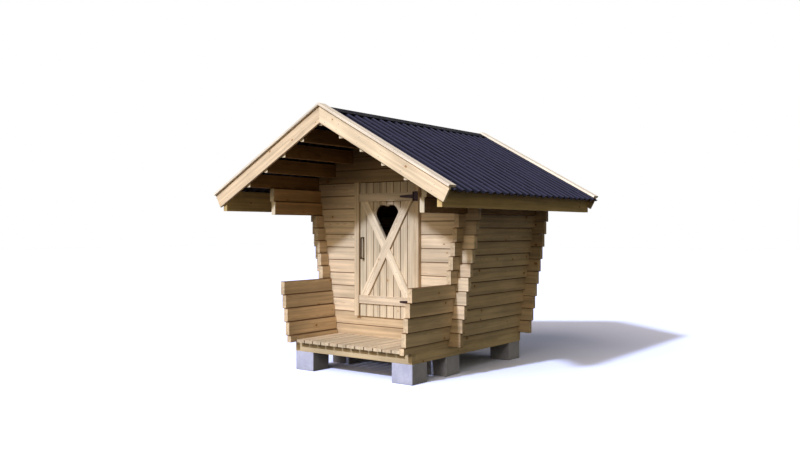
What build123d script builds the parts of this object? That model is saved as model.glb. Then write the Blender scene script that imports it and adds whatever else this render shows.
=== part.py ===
import os
from math import asin, atan, atan2, cos, degrees, hypot, pi, sin, sqrt, tan

from build123d import *

os.makedirs("parts", exist_ok=True)

# A child-size log outhouse on concrete blocks, in millimetres. X runs to the right as seen
# from the front, Y to the back and Z up. The origin is on the ground, midway along the roof.

# Foundation
block_width = 200
block_length = 200
block_height = 160
block_chamfer = 4
block_front_setback = 106
block_middle_lead = 25
block_rear_setback = 11
bearer_width = 70
bearer_height = 82
joist_thickness = 45
sill_beam_width = 100

# Wall logs
log_height = 114
log_thickness = 42
log_chamfer = 4
course_gap = 0.5
notch_clearance = 0.3
lean_step = 19
cabin_width = 1235
cabin_depth = 1215
porch_depth = 600
cross_log_end = 120
side_log_end = 100

# Courses, counted from the ground. Side courses sit half a log lower than cross courses.
last_porch_course = 4
first_bracket_course = 10
wall_plate_course = 12
ridge_course = 16
door_sill_course = 2

# Floors
deck_board_width = 84
deck_board_gap = 8
deck_board_thickness = 24
deck_board_chamfer = 2
deck_overhang = 60

# Roof
roof_front_overhang = 870
roof_rear_overhang = 375
roof_slope_length = 1374
sheet_thickness = 3
sheet_height = 24
sheet_seat = 0.3
sheet_end = 26
wave_count = 23
wave_facets = 8
ridge_gap = 6
ridge_cap_leg = 70
ridge_cap_thickness = 3
ridge_cap_clearance = 0.5
barge_width = 117
barge_thickness = 20
cap_width = 90
cap_thickness = 18
cap_overhang = 20
trim_chamfer = 2
eave_board_height = 150
eave_board_thickness = 42
eave_board_setback = 76

# Door posts
doorway_half_width = 285
post_face_width = 48
post_depth = 38
post_lining = 12
post_rebate_depth = 6
post_rebate_width = 15
post_lap = 30

# Door
door_gap = 5
door_back_gap = 5
door_board_count = 8
door_board_gap = 1.5
door_board_thickness = 16
door_board_chamfer = 2
rail_height = 72
rail_thickness = 17
rail_chamfer = 2
top_rail_drop = 92
bottom_rail_rise = 110
brace_width = 74
brace_inset = 58
heart_lobe_radius = 75
heart_lobe_offset = 45
heart_height = 300
heart_drop = 272

# Hinges and pull
hinge_leaf_thickness = 3
hinge_plate_height = 80
hinge_plate_width = 42
strap_length = 135
strap_tip_height = 16
knuckle_radius = 5
knuckle_length = 34
knuckle_gap = 0.5
pin_radius = 2.5
pin_clearance = 0.1
hinge_stand_off = 1
pull_height = 185
pull_width = 20
pull_thickness = 8
pull_projection = 38
pull_bend = 18
pull_inset = 36
pull_rise = 595

overrun = 5

# Heights and faces that the pieces share
base_z = block_height + bearer_height
roof_length = roof_front_overhang + cabin_depth + roof_rear_overhang
front_y = roof_front_overhang - roof_length / 2
rear_y = front_y + cabin_depth
porch_y = front_y - porch_depth
front_wall_mid_y = front_y + log_thickness / 2
rear_wall_mid_y = rear_y - log_thickness / 2
notch_width = log_thickness + 2 * notch_clearance
cabin_half = cabin_width / 2
door_head_z = base_z + wall_plate_course * log_height
door_sill_z = base_z + door_sill_course * log_height


def cross_bottom(course):
    return base_z + course * log_height


def side_bottom(course):
    return base_z + max(course * log_height - log_height / 2, 0)


def side_top(course):
    seated = 0 if course >= wall_plate_course else course_gap
    return base_z + course * log_height + log_height / 2 - seated


wall_plate_mid = cabin_half + wall_plate_course * lean_step - log_thickness / 2
purlin_run = wall_plate_mid / (ridge_course - wall_plate_course)
pitch = atan(log_height / purlin_run)
roof_apex_z = side_top(ridge_course) + log_thickness / 2 * tan(pitch)
crest = sheet_seat + sheet_height


def side_mid_x(course):
    if course <= wall_plate_course:
        return cabin_half + course * lean_step - log_thickness / 2
    return (ridge_course - course) * purlin_run


def roof_half_width(z):
    return (roof_apex_z - z) / tan(pitch)


def roof_point(along, above):
    x = along * cos(pitch) + above * sin(pitch)
    z = roof_apex_z - along * sin(pitch) + above * cos(pitch)
    return (x, z)


def ridge_point(above):
    return roof_point(-above * tan(pitch), above)


def front_plane(y):
    return Plane(origin=(0, y, 0), x_dir=(1, 0, 0), z_dir=(0, -1, 0))


def side_plane(x):
    return Plane(origin=(x, 0, 0), x_dir=(0, 1, 0), z_dir=(1, 0, 0))


def notch(mid, low, high):
    with BuildSketch() as cut:
        with Locations((mid, (low + high) / 2)):
            Rectangle(notch_width, high - low)
    return cut.sketch


# The side of one log that runs front to back, notched top and bottom where it crosses the
# front and rear walls.
def side_log(course, front_end, rear_end):
    mid_z = base_z + course * log_height
    low = side_bottom(course)
    high = side_top(course)
    with BuildSketch(side_plane(side_mid_x(course))) as outline:
        with Locations(((front_end + rear_end) / 2, (low + high) / 2)):
            Rectangle(rear_end - front_end, high - low)
        for wall_y in (front_wall_mid_y, rear_wall_mid_y):
            add(notch(wall_y, mid_z + log_height / 4, high + overrun), mode=Mode.SUBTRACT)
            if course > 0:
                add(notch(wall_y, low - overrun, mid_z - log_height / 4), mode=Mode.SUBTRACT)
    return outline.sketch


# The face of one log of the front or rear wall. Logs over the wall plate are cut to the slope
# of the roof, and each log is notched for the side logs or purlins above and below it.
def cross_log(course, wall_mid_y, left_end=None, right_end=None):
    low = cross_bottom(course)
    high = min(low + log_height - course_gap, roof_apex_z)
    tip = cabin_half + course * lean_step + cross_log_end
    low_half = roof_half_width(low) if course >= wall_plate_course else tip
    high_half = roof_half_width(high) if course >= wall_plate_course else tip
    corners = [
        (-low_half if left_end is None else left_end, low),
        (low_half if right_end is None else right_end, low),
        (high_half if right_end is None else right_end, high),
    ]
    if high < roof_apex_z:
        corners.append((-high_half if left_end is None else left_end, high))
    with BuildSketch(front_plane(wall_mid_y)) as outline:
        Polygon(*corners, align=None)
        for side in (-1, 1):
            below = side * side_mid_x(course)
            add(notch(below, low - overrun, low + log_height / 4), mode=Mode.SUBTRACT)
            if course < ridge_course:
                above = side * side_mid_x(course + 1)
                add(notch(above, low + 3 * log_height / 4, high + overrun), mode=Mode.SUBTRACT)
    return outline.sketch


# The long edges of the logs in a piece, without the floors of their notches
def log_edges(piece, along):
    edges = piece.edges().filter_by(along)
    return edges.filter_by(lambda edge: abs(edge.length - notch_width) > notch_clearance)


def finish(piece, name):
    piece.part.label = name
    export_step(piece.part, "parts/" + name + ".step")


# Concrete blocks, a pair under the porch, a pair under the front wall and a pair at the back
block_mid_y = {
    "front": porch_y + block_front_setback + block_length / 2,
    "middle": front_y - block_middle_lead + block_length / 2,
    "rear": rear_y - block_rear_setback - block_length / 2,
}
for row, row_y in block_mid_y.items():
    for side_name, side in (("left", -1), ("right", 1)):
        with BuildPart() as block:
            with Locations((side * (cabin_half - block_width / 2), row_y, 0)):
                Box(
                    block_width,
                    block_length,
                    block_height,
                    align=(Align.CENTER, Align.CENTER, Align.MIN),
                )
            chamfer(block.edges(), length=block_chamfer)
        finish(block, "block_" + row + "_" + side_name)

# Bearers run along the sides behind the front joist, which lies flush with the front blocks
joist_front_y = porch_y + block_front_setback
bearer_front_y = joist_front_y + joist_thickness
bearer_length = rear_y - bearer_front_y
with BuildPart() as bearer_right:
    with Locations((cabin_half - bearer_width / 2, bearer_front_y + bearer_length / 2, block_height)):
        Box(
            bearer_width,
            bearer_length,
            bearer_height,
            align=(Align.CENTER, Align.CENTER, Align.MIN),
        )
finish(bearer_right, "bearer_right")

with BuildPart() as bearer_left:
    mirror(bearer_right.part, about=Plane.YZ)
finish(bearer_left, "bearer_left")

# The front joist, a joist under the middle of the floor, and a wider beam under each cross wall
# that also carries the ends of the boards
inner_span = cabin_width - 2 * bearer_width
cabin_mid_y = (front_y + rear_y) / 2
with BuildPart() as cross_joists:
    with Locations((0, joist_front_y + joist_thickness / 2, block_height)):
        Box(
            cabin_width,
            joist_thickness,
            bearer_height,
            align=(Align.CENTER, Align.CENTER, Align.MIN),
        )
    with Locations((0, cabin_mid_y, block_height)):
        Box(
            inner_span,
            joist_thickness,
            bearer_height,
            align=(Align.CENTER, Align.CENTER, Align.MIN),
        )
    with Locations(
        (0, front_wall_mid_y, block_height),
        (0, rear_y - sill_beam_width / 2, block_height),
    ):
        Box(
            inner_span,
            sill_beam_width,
            bearer_height,
            align=(Align.CENTER, Align.CENTER, Align.MIN),
        )
finish(cross_joists, "cross_joists")

# Porch deck and cabin floor, boards laid front to back
deck_pitch = deck_board_width + deck_board_gap
deck_board_count = int((cabin_width - 2 * log_thickness + deck_board_gap) / deck_pitch)
deck_front_y = joist_front_y - deck_overhang
floor_front_y = front_y + log_thickness
floor_rear_y = rear_y - log_thickness
with BuildPart() as porch_deck:
    with Locations((0, (deck_front_y + front_y) / 2, base_z + deck_board_thickness / 2)):
        with GridLocations(deck_pitch, 0, deck_board_count, 1):
            Box(deck_board_width, front_y - deck_front_y, deck_board_thickness)
    chamfer(porch_deck.edges().filter_by(Axis.Y).group_by(Axis.Z)[-1], length=deck_board_chamfer)
finish(porch_deck, "porch_deck")

with BuildPart() as cabin_floor:
    with Locations((0, (floor_front_y + floor_rear_y) / 2, base_z + deck_board_thickness / 2)):
        with GridLocations(deck_pitch, 0, deck_board_count, 1):
            Box(deck_board_width, floor_rear_y - floor_front_y, deck_board_thickness)
    chamfer(cabin_floor.edges().filter_by(Axis.Y).group_by(Axis.Z)[-1], length=deck_board_chamfer)
finish(cabin_floor, "cabin_floor")

# Side walls, each log standing a step further out than the one below
log_rear_end = rear_y + side_log_end
log_front_end = front_y - side_log_end
half_log = log_thickness / 2
with BuildPart() as side_low_right:
    for course in range(last_porch_course + 1):
        extrude(side_log(course, porch_y, log_rear_end), amount=half_log, both=True)
    chamfer(log_edges(side_low_right, Axis.Y), length=log_chamfer)
finish(side_low_right, "side_porch_logs_right")

with BuildPart() as side_upper_right:
    for course in range(last_porch_course + 1, first_bracket_course):
        extrude(side_log(course, log_front_end, log_rear_end), amount=half_log, both=True)
    chamfer(log_edges(side_upper_right, Axis.Y), length=log_chamfer)
finish(side_upper_right, "side_upper_logs_right")

with BuildPart() as side_bracket_right:
    for course in range(first_bracket_course, wall_plate_course):
        extrude(side_log(course, porch_y, log_rear_end), amount=half_log, both=True)
    chamfer(log_edges(side_bracket_right, Axis.Y), length=log_chamfer)
finish(side_bracket_right, "side_bracket_logs_right")

with BuildPart() as side_low_left:
    mirror(side_low_right.part, about=Plane.YZ)
finish(side_low_left, "side_porch_logs_left")

with BuildPart() as side_upper_left:
    mirror(side_upper_right.part, about=Plane.YZ)
finish(side_upper_left, "side_upper_logs_left")

with BuildPart() as side_bracket_left:
    mirror(side_bracket_right.part, about=Plane.YZ)
finish(side_bracket_left, "side_bracket_logs_left")

# Front wall, split under, beside and over the doorway, and the unbroken rear wall
lining_half = doorway_half_width + post_rebate_width + post_lining
with BuildPart() as front_sill:
    for course in range(door_sill_course):
        extrude(cross_log(course, front_wall_mid_y), amount=half_log, both=True)
    chamfer(log_edges(front_sill, Axis.X), length=log_chamfer)
finish(front_sill, "front_sill_logs")

with BuildPart() as front_right:
    for course in range(door_sill_course, wall_plate_course):
        beside_door = cross_log(course, front_wall_mid_y, left_end=lining_half)
        extrude(beside_door, amount=half_log, both=True)
    chamfer(log_edges(front_right, Axis.X), length=log_chamfer)
finish(front_right, "front_wall_logs_right")

with BuildPart() as front_left:
    mirror(front_right.part, about=Plane.YZ)
finish(front_left, "front_wall_logs_left")

with BuildPart() as front_gable:
    for course in range(wall_plate_course, ridge_course + 1):
        extrude(cross_log(course, front_wall_mid_y), amount=half_log, both=True)
    chamfer(log_edges(front_gable, Axis.X), length=log_chamfer)
finish(front_gable, "front_gable_logs")

with BuildPart() as rear_wall:
    for course in range(wall_plate_course):
        extrude(cross_log(course, rear_wall_mid_y), amount=half_log, both=True)
    chamfer(log_edges(rear_wall, Axis.X), length=log_chamfer)
finish(rear_wall, "rear_wall_logs")

with BuildPart() as rear_gable:
    for course in range(wall_plate_course, ridge_course + 1):
        extrude(cross_log(course, rear_wall_mid_y), amount=half_log, both=True)
    chamfer(log_edges(rear_gable, Axis.X), length=log_chamfer)
finish(rear_gable, "rear_gable_logs")

# Purlins are side logs that carry on up the slope, from barge board to barge board
barge_front_y = -roof_length / 2
purlin_front_y = barge_front_y + barge_thickness
purlin_rear_y = -purlin_front_y
with BuildPart() as purlins_right:
    for course in range(wall_plate_course, ridge_course):
        extrude(side_log(course, purlin_front_y, purlin_rear_y), amount=half_log, both=True)
        underside = purlins_right.edges(Select.LAST).filter_by(Axis.Y).group_by(Axis.Z)[0]
        chamfer(underside, length=log_chamfer)
finish(purlins_right, "purlins_right")

with BuildPart() as purlins_left:
    mirror(purlins_right.part, about=Plane.YZ)
finish(purlins_left, "purlins_left")

with BuildPart() as ridge_purlin:
    extrude(side_log(ridge_course, purlin_front_y, purlin_rear_y), amount=half_log, both=True)
    chamfer(ridge_purlin.edges().filter_by(Axis.Y).group_by(Axis.Z)[0], length=log_chamfer)
finish(ridge_purlin, "ridge_purlin")

# Eave boards, bevelled on top to the slope of the roof
eave_along = roof_slope_length - eave_board_setback
eave_outer_x, eave_outer_z = roof_point(eave_along, 0)
eave_inner_x, eave_inner_z = roof_point(eave_along - eave_board_thickness / cos(pitch), 0)
eave_bottom_z = eave_outer_z - eave_board_height
with BuildPart() as eave_right:
    with BuildSketch(front_plane(purlin_front_y)):
        Polygon(
            (eave_inner_x, eave_bottom_z),
            (eave_outer_x, eave_bottom_z),
            (eave_outer_x, eave_outer_z),
            (eave_inner_x, eave_inner_z),
            align=None,
        )
    extrude(amount=purlin_front_y - purlin_rear_y)
finish(eave_right, "eave_board_right")

with BuildPart() as eave_left:
    mirror(eave_right.part, about=Plane.YZ)
finish(eave_left, "eave_board_left")

# Corrugated roof sheets, one wave after another along the ridge
sheet_length = purlin_rear_y - purlin_front_y - 2 * sheet_seat
facet_count = wave_count * wave_facets
wave_rise = (sheet_height - sheet_thickness) / 2
slope_dir = (cos(pitch), 0, -sin(pitch))
sheet_start_x, sheet_start_z = roof_point(ridge_gap, sheet_seat)
sheet_plane = Plane(origin=(sheet_start_x, 0, sheet_start_z), x_dir=(0, 1, 0), z_dir=slope_dir)
with BuildPart() as sheet_right:
    with BuildSketch(sheet_plane):
        with BuildLine():
            for level in (wave_rise, wave_rise + sheet_thickness):
                wave = []
                for facet in range(facet_count + 1):
                    along = (facet / facet_count - 1 / 2) * sheet_length
                    wave.append((along, level + wave_rise * sin(2 * pi * facet / wave_facets)))
                Polyline(*wave)
            for edge in (-sheet_length / 2, sheet_length / 2):
                Line((edge, wave_rise), (edge, wave_rise + sheet_thickness))
        make_face()
    extrude(amount=roof_slope_length + sheet_end - ridge_gap)
finish(sheet_right, "roof_sheet_right")

with BuildPart() as sheet_left:
    mirror(sheet_right.part, about=Plane.YZ)
finish(sheet_left, "roof_sheet_left")


# A board up the slope, mitred at the ridge and cut square at the eave
def slope_board(y, low, high, length):
    with BuildSketch(front_plane(y)) as outline:
        Polygon(
            ridge_point(low),
            roof_point(length, low),
            roof_point(length, high),
            ridge_point(high),
            align=None,
        )
    return outline.sketch


# Barge boards close the purlin ends, and cap boards lie over them and the sheet edges
cap_front_y = barge_front_y - cap_overhang
down_slope = Axis((0, 0, 0), slope_dir)
gables = {
    "front": (barge_front_y, cap_front_y),
    "rear": (-purlin_front_y, -cap_front_y - cap_width),
}
for gable, (barge_y, cap_y) in gables.items():
    with BuildPart() as barge_right:
        barge_face = slope_board(barge_y, crest - barge_width, crest, roof_slope_length)
        extrude(barge_face, amount=-barge_thickness)
        chamfer(barge_right.edges().filter_by(down_slope), length=trim_chamfer)
    finish(barge_right, "barge_board_" + gable + "_right")

    with BuildPart() as barge_left:
        mirror(barge_right.part, about=Plane.YZ)
    finish(barge_left, "barge_board_" + gable + "_left")

    with BuildPart() as cap_right:
        cap_face = slope_board(cap_y, crest, crest + cap_thickness, roof_slope_length)
        extrude(cap_face, amount=-cap_width)
        chamfer(cap_right.edges().filter_by(down_slope), length=trim_chamfer)
    finish(cap_right, "cap_board_" + gable + "_right")

    with BuildPart() as cap_left:
        mirror(cap_right.part, about=Plane.YZ)
    finish(cap_left, "cap_board_" + gable + "_left")

# Ridge cap, folded over the sheets between the cap boards
ridge_cap_low = crest + sheet_seat
ridge_cap_high = ridge_cap_low + ridge_cap_thickness
ridge_cap_end_y = cap_front_y + cap_width + ridge_cap_clearance
with BuildPart() as ridge_cap:
    with BuildSketch(front_plane(ridge_cap_end_y)):
        right_fold = [
            ridge_point(ridge_cap_low),
            roof_point(ridge_cap_leg, ridge_cap_low),
            roof_point(ridge_cap_leg, ridge_cap_high),
            ridge_point(ridge_cap_high),
        ]
        Polygon(*right_fold, align=None)
        mirror(about=Plane.YZ)
    extrude(amount=2 * ridge_cap_end_y)
finish(ridge_cap, "ridge_cap")

# Rebated door posts over the cut log ends, lapping down over the sill log
post_inner = doorway_half_width + post_rebate_width
with BuildPart() as post_right:
    with BuildSketch(Plane.XY.offset(door_sill_z)):
        Polygon(
            (post_inner, front_y),
            (lining_half, front_y),
            (lining_half, front_y + log_thickness),
            (doorway_half_width, front_y + log_thickness),
            (doorway_half_width, front_y + post_rebate_depth),
            (post_inner, front_y + post_rebate_depth),
            align=None,
        )
    extrude(amount=door_head_z - door_sill_z)
    with Locations((post_inner, front_y, door_sill_z - post_lap)):
        Box(
            post_face_width,
            post_depth,
            door_head_z - door_sill_z + post_lap,
            align=(Align.MIN, Align.MAX, Align.MIN),
        )
finish(post_right, "door_post_right")

with BuildPart() as post_left:
    mirror(post_right.part, about=Plane.YZ)
finish(post_left, "door_post_left")

# Door boards with a heart cut through them
door_half = post_inner - door_gap
door_bottom_z = door_sill_z - post_lap
door_top_z = door_head_z - door_gap
door_height = door_top_z - door_bottom_z
board_back_y = front_y - door_back_gap
board_front_y = board_back_y - door_board_thickness
rail_front_y = board_front_y - rail_thickness
board_pitch = (2 * door_half + door_board_gap) / door_board_count
groove_half = door_board_gap / 2 + door_board_chamfer
heart_mid_z = door_top_z - heart_drop
heart_tip = heart_lobe_radius - heart_height
tip_reach = hypot(heart_lobe_offset, heart_tip)
tip_angle = atan2(-heart_tip, heart_lobe_offset) - asin(heart_lobe_radius / tip_reach)
flank = sqrt(tip_reach**2 - heart_lobe_radius**2)
flank_x = flank * cos(tip_angle)
flank_z = heart_tip + flank * sin(tip_angle)
with BuildPart() as door_boards:
    with BuildSketch(front_plane(board_front_y)):
        with Locations((0, (door_bottom_z + door_top_z) / 2)):
            with GridLocations(board_pitch, 0, door_board_count, 1):
                Rectangle(board_pitch - door_board_gap, door_height)
        with Locations((-heart_lobe_offset, heart_mid_z), (heart_lobe_offset, heart_mid_z)):
            Circle(heart_lobe_radius, mode=Mode.SUBTRACT)
        with Locations((0, heart_mid_z)):
            Polygon(
                (0, heart_tip),
                (flank_x, flank_z),
                (0, 0),
                (-flank_x, flank_z),
                align=None,
                mode=Mode.SUBTRACT,
            )
    extrude(amount=-door_board_thickness)
    with BuildSketch(Plane.XY.offset(door_bottom_z)):
        with Locations((0, board_front_y)):
            with GridLocations(board_pitch, 0, door_board_count - 1, 1):
                Polygon((-groove_half, 0), (0, groove_half), (groove_half, 0), align=None)
    extrude(amount=door_height, mode=Mode.SUBTRACT)
finish(door_boards, "door_boards")

# Ledges across the boards and a cross brace between them, halved where its arms meet
top_rail_mid_z = door_top_z - top_rail_drop - rail_height / 2
bottom_rail_mid_z = door_bottom_z + bottom_rail_rise + rail_height / 2
brace_top_z = top_rail_mid_z - rail_height / 2
brace_bottom_z = bottom_rail_mid_z + rail_height / 2
brace_mid_z = (brace_top_z + brace_bottom_z) / 2
brace_half_x = door_half - brace_inset
brace_span = brace_top_z - brace_bottom_z
brace_angle = degrees(atan2(brace_span, 2 * brace_half_x))
brace_reach = hypot(brace_span, 2 * brace_half_x) + brace_width
with BuildPart() as door_rails:
    with BuildSketch(front_plane(rail_front_y)):
        with Locations((0, top_rail_mid_z), (0, bottom_rail_mid_z)):
            Rectangle(2 * door_half, rail_height)
    extrude(amount=-rail_thickness)
    chamfer(door_rails.edges().group_by(Axis.Y)[0], length=rail_chamfer)
finish(door_rails, "door_rails")

with BuildPart() as door_brace:
    with BuildSketch(front_plane(rail_front_y)):
        with Locations((0, brace_mid_z)):
            Rectangle(brace_reach, brace_width, rotation=brace_angle)
            Rectangle(brace_reach, brace_width, rotation=-brace_angle)
            Rectangle(2 * door_half, brace_span, mode=Mode.INTERSECT)
    extrude(amount=-rail_thickness)
    chamfer(door_brace.edges().group_by(Axis.Y)[0], length=rail_chamfer)
finish(door_brace, "door_brace")

# Black T hinges: a plate on the right post with a pin, and a tapered strap on the rail
hinge_x = door_half + door_gap / 2
hinge_y = rail_front_y - hinge_stand_off - knuckle_radius
hinge_heights = (top_rail_mid_z, bottom_rail_mid_z)
plate_knuckle = (hinge_plate_height - knuckle_length) / 2 - knuckle_gap
plate_edge_x = hinge_x + knuckle_radius + knuckle_gap
with BuildPart() as hinge_plates:
    for hinge_z in hinge_heights:
        with Locations((plate_edge_x, rail_front_y, hinge_z)):
            Box(
                hinge_plate_width,
                hinge_leaf_thickness,
                hinge_plate_height,
                align=(Align.MIN, Align.MAX, Align.CENTER),
            )
        for end in (-1, 1):
            knuckle_z = hinge_z + end * (hinge_plate_height - plate_knuckle) / 2
            with Locations((hinge_x, hinge_y, knuckle_z)):
                Cylinder(knuckle_radius, plate_knuckle)
            with Locations((hinge_x, rail_front_y, knuckle_z)):
                Box(
                    plate_edge_x - hinge_x + hinge_leaf_thickness,
                    hinge_leaf_thickness,
                    plate_knuckle,
                    align=(Align.MIN, Align.MAX, Align.CENTER),
                )
        with Locations((hinge_x, hinge_y, hinge_z)):
            Cylinder(pin_radius, hinge_plate_height)
finish(hinge_plates, "hinge_plates")

with BuildPart() as hinge_straps:
    for hinge_z in hinge_heights:
        with BuildSketch(front_plane(rail_front_y)):
            with Locations((0, hinge_z)):
                Polygon(
                    (hinge_x, -knuckle_length / 2),
                    (hinge_x, knuckle_length / 2),
                    (hinge_x - strap_length, strap_tip_height / 2),
                    (hinge_x - strap_length, -strap_tip_height / 2),
                    align=None,
                )
            with Locations((hinge_x - strap_length, hinge_z)):
                Circle(strap_tip_height / 2)
        extrude(amount=hinge_leaf_thickness)
        with Locations((hinge_x, hinge_y, hinge_z)):
            Cylinder(knuckle_radius, knuckle_length)
            Cylinder(pin_radius + pin_clearance, knuckle_length + overrun, mode=Mode.SUBTRACT)
finish(hinge_straps, "hinge_straps")

# Bow pull of flat bar on the leaf's left edge
pull_x = -door_half + pull_inset
pull_low_z = door_bottom_z + pull_rise - pull_height / 2
pull_high_z = pull_low_z + pull_height
pull_out_y = board_front_y - pull_projection
with BuildPart() as door_pull:
    with BuildLine() as bow:
        FilletPolyline(
            (pull_x, board_front_y, pull_low_z),
            (pull_x, pull_out_y, pull_low_z),
            (pull_x, pull_out_y, pull_high_z),
            (pull_x, board_front_y, pull_high_z),
            radius=pull_bend,
        )
    with BuildSketch(front_plane(board_front_y)):
        with Locations((pull_x, pull_low_z)):
            Rectangle(pull_width, pull_thickness)
    sweep(path=bow.wires()[0])
finish(door_pull, "door_pull")
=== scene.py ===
import math

import bpy
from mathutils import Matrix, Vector


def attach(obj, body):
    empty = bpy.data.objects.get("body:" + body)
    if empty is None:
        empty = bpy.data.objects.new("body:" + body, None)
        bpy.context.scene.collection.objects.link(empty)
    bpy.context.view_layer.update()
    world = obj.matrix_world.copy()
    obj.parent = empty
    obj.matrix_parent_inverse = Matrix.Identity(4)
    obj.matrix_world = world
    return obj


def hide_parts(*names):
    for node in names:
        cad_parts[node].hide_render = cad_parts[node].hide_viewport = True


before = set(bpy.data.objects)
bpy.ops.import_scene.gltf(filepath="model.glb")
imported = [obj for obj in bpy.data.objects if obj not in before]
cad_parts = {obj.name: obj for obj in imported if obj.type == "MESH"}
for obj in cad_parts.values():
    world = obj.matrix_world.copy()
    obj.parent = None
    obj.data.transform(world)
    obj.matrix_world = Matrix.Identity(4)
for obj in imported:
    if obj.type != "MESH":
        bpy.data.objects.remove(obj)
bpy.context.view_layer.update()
print("frame loaded", len(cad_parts), "nodes")

# sizes of the hut that the finishes and small pieces follow, in metres
hut = {
    "base": 0.242,            # top of the bearers
    "course": 0.114,          # height of one log
    "logThick": 0.042,
    "seamGap": 0.0005,
    "cabinHalf": 0.6175,
    "leanStep": 0.019,        # how far each side log stands out past the one below
    "leanMid": 0.72,          # mean distance of the side logs from the middle
    "frontFace": -0.36,
    "rearFace": 0.855,
    "sillCourse": 2,
    "plateCourse": 12,
    "ridgeCourse": 16,
    "liningHalf": 0.312,      # where the logs beside the doorway end
    "purlinRun": 0.206125,    # from one purlin to the next, level
    "purlinEnd": 1.2085,      # where the sawn ends begin
    "bracketEnd": 0.9535,
    "crest": 0.0243,          # top of the sheets over the purlins
    "gable": 1.23,            # face of the barge boards, front and rear
    "eaveMid": (1.11, 1.40),  # out from the middle and up
    "bearerMid": (0.58, 0.201),
    "joistPitch": 0.3,
    "joistShare": 0.2,        # share of the pitch that a joist takes up
    "deckPitch": 0.092,
    "deckTop": 0.266,
    "deckSeam": 0.042,        # half the width of a board, and so for the door
    "doorWidth": 0.5915,
    "doorBoards": 8,
    "doorMid": -0.373,        # middle of the door boards
    "doorSeam": 0.0365,
    "postMid": 0.32,
    "railFace": -0.398,
    "railMid": (0.586, 1.477),
    "braceRise": 0.819,
    "braceRun": 0.474,
    "braceHalf": 0.0372,
    "hingeX": 0.2975,
}
hut["pitch"] = math.atan(hut["course"] / hut["purlinRun"])
purlinTop = hut["base"] + (hut["ridgeCourse"] + 0.5) * hut["course"]
hut["apex"] = purlinTop + hut["logThick"] / 2 * math.tan(hut["pitch"])
hut["wallMidFront"] = hut["frontFace"] + hut["logThick"] / 2
hut["wallMidRear"] = hut["rearFace"] - hut["logThick"] / 2
hut["logSeam"] = hut["course"] / 2 - hut["seamGap"]
hut["doorPitch"] = hut["doorWidth"] / hut["doorBoards"]
hut["braceMid"] = sum(hut["railMid"]) / 2
hut["braceAngle"] = math.atan2(hut["braceRise"], hut["braceRun"])
slopeSine, slopeCosine = math.sin(hut["pitch"]), math.cos(hut["pitch"])


def roofPoint(along, above):
    x = along * slopeCosine + above * slopeSine
    z = hut["apex"] - along * slopeSine + above * slopeCosine
    return x, z


def sideMid(course):
    if course <= hut["plateCourse"]:
        return hut["cabinHalf"] + course * hut["leanStep"] - hut["logThick"] / 2
    return (hut["ridgeCourse"] - course) * hut["purlinRun"]


# node helpers: a value is either a socket to link or a number to type in
noiseSpan = (0.3, 0.7)        # most of a noise lies between these


def feed(tree, socket, value):
    if isinstance(value, bpy.types.NodeSocket):
        tree.links.new(value, socket)
    else:
        socket.default_value = value


def calc(tree, operation, *values):
    node = tree.nodes.new("ShaderNodeMath")
    node.operation = operation
    for socket, value in zip(node.inputs, values):
        feed(tree, socket, value)
    return node.outputs[0]


def distance(tree, first, second):
    squares = calc(tree, "MULTIPLY_ADD", first, first, calc(tree, "MULTIPLY", second, second))
    return calc(tree, "SQRT", squares)


def scatter(tree, chance, width):
    return calc(tree, "MULTIPLY", calc(tree, "SUBTRACT", chance, 0.5), width)


def remap(tree, value, fromLow, fromHigh, toLow, toHigh, smooth=True):
    node = tree.nodes.new("ShaderNodeMapRange")
    node.interpolation_type = "SMOOTHSTEP" if smooth else "LINEAR"
    for socket, item in zip(node.inputs, (value, fromLow, fromHigh, toLow, toHigh)):
        feed(tree, socket, item)
    return node.outputs[0]


def pack3(tree, x, y, z):
    node = tree.nodes.new("ShaderNodeCombineXYZ")
    for socket, value in zip(node.inputs, (x, y, z)):
        feed(tree, socket, value)
    return node.outputs[0]


def split3(tree, vector):
    node = tree.nodes.new("ShaderNodeSeparateXYZ")
    tree.links.new(vector, node.inputs[0])
    return node.outputs


def noise(tree, vector, scale=1.0, detail=2.0, roughness=0.5, output="Fac"):
    node = tree.nodes.new("ShaderNodeTexNoise")
    feed(tree, node.inputs["Vector"], vector)
    feed(tree, node.inputs["Scale"], scale)
    feed(tree, node.inputs["Detail"], detail)
    feed(tree, node.inputs["Roughness"], roughness)
    return node.outputs[output]


def blend(tree, factor, first, second, mode="MIX"):
    node = tree.nodes.new("ShaderNodeMix")
    node.data_type = "RGBA"
    node.blend_type = mode
    feed(tree, node.inputs[0], factor)
    feed(tree, node.inputs[6], first if isinstance(first, bpy.types.NodeSocket) else (*first, 1))
    feed(tree, node.inputs[7], second if isinstance(second, bpy.types.NodeSocket) else (*second, 1))
    return node.outputs[2]


def brighten(tree, colour, amount):
    node = tree.nodes.new("ShaderNodeVectorMath")
    node.operation = "SCALE"
    tree.links.new(colour, node.inputs[0])
    feed(tree, node.inputs["Scale"], amount)
    return node.outputs[0]


def newFinish(name):
    material = bpy.data.materials.new(name)
    material.use_nodes = True
    tree = material.node_tree
    tree.nodes.clear()
    output = tree.nodes.new("ShaderNodeOutputMaterial")
    shader = tree.nodes.new("ShaderNodeBsdfPrincipled")
    tree.links.new(shader.outputs[0], output.inputs[0])
    where = tree.nodes.new("ShaderNodeTexCoord")
    return material, tree, shader, where.outputs["Object"]


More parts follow.
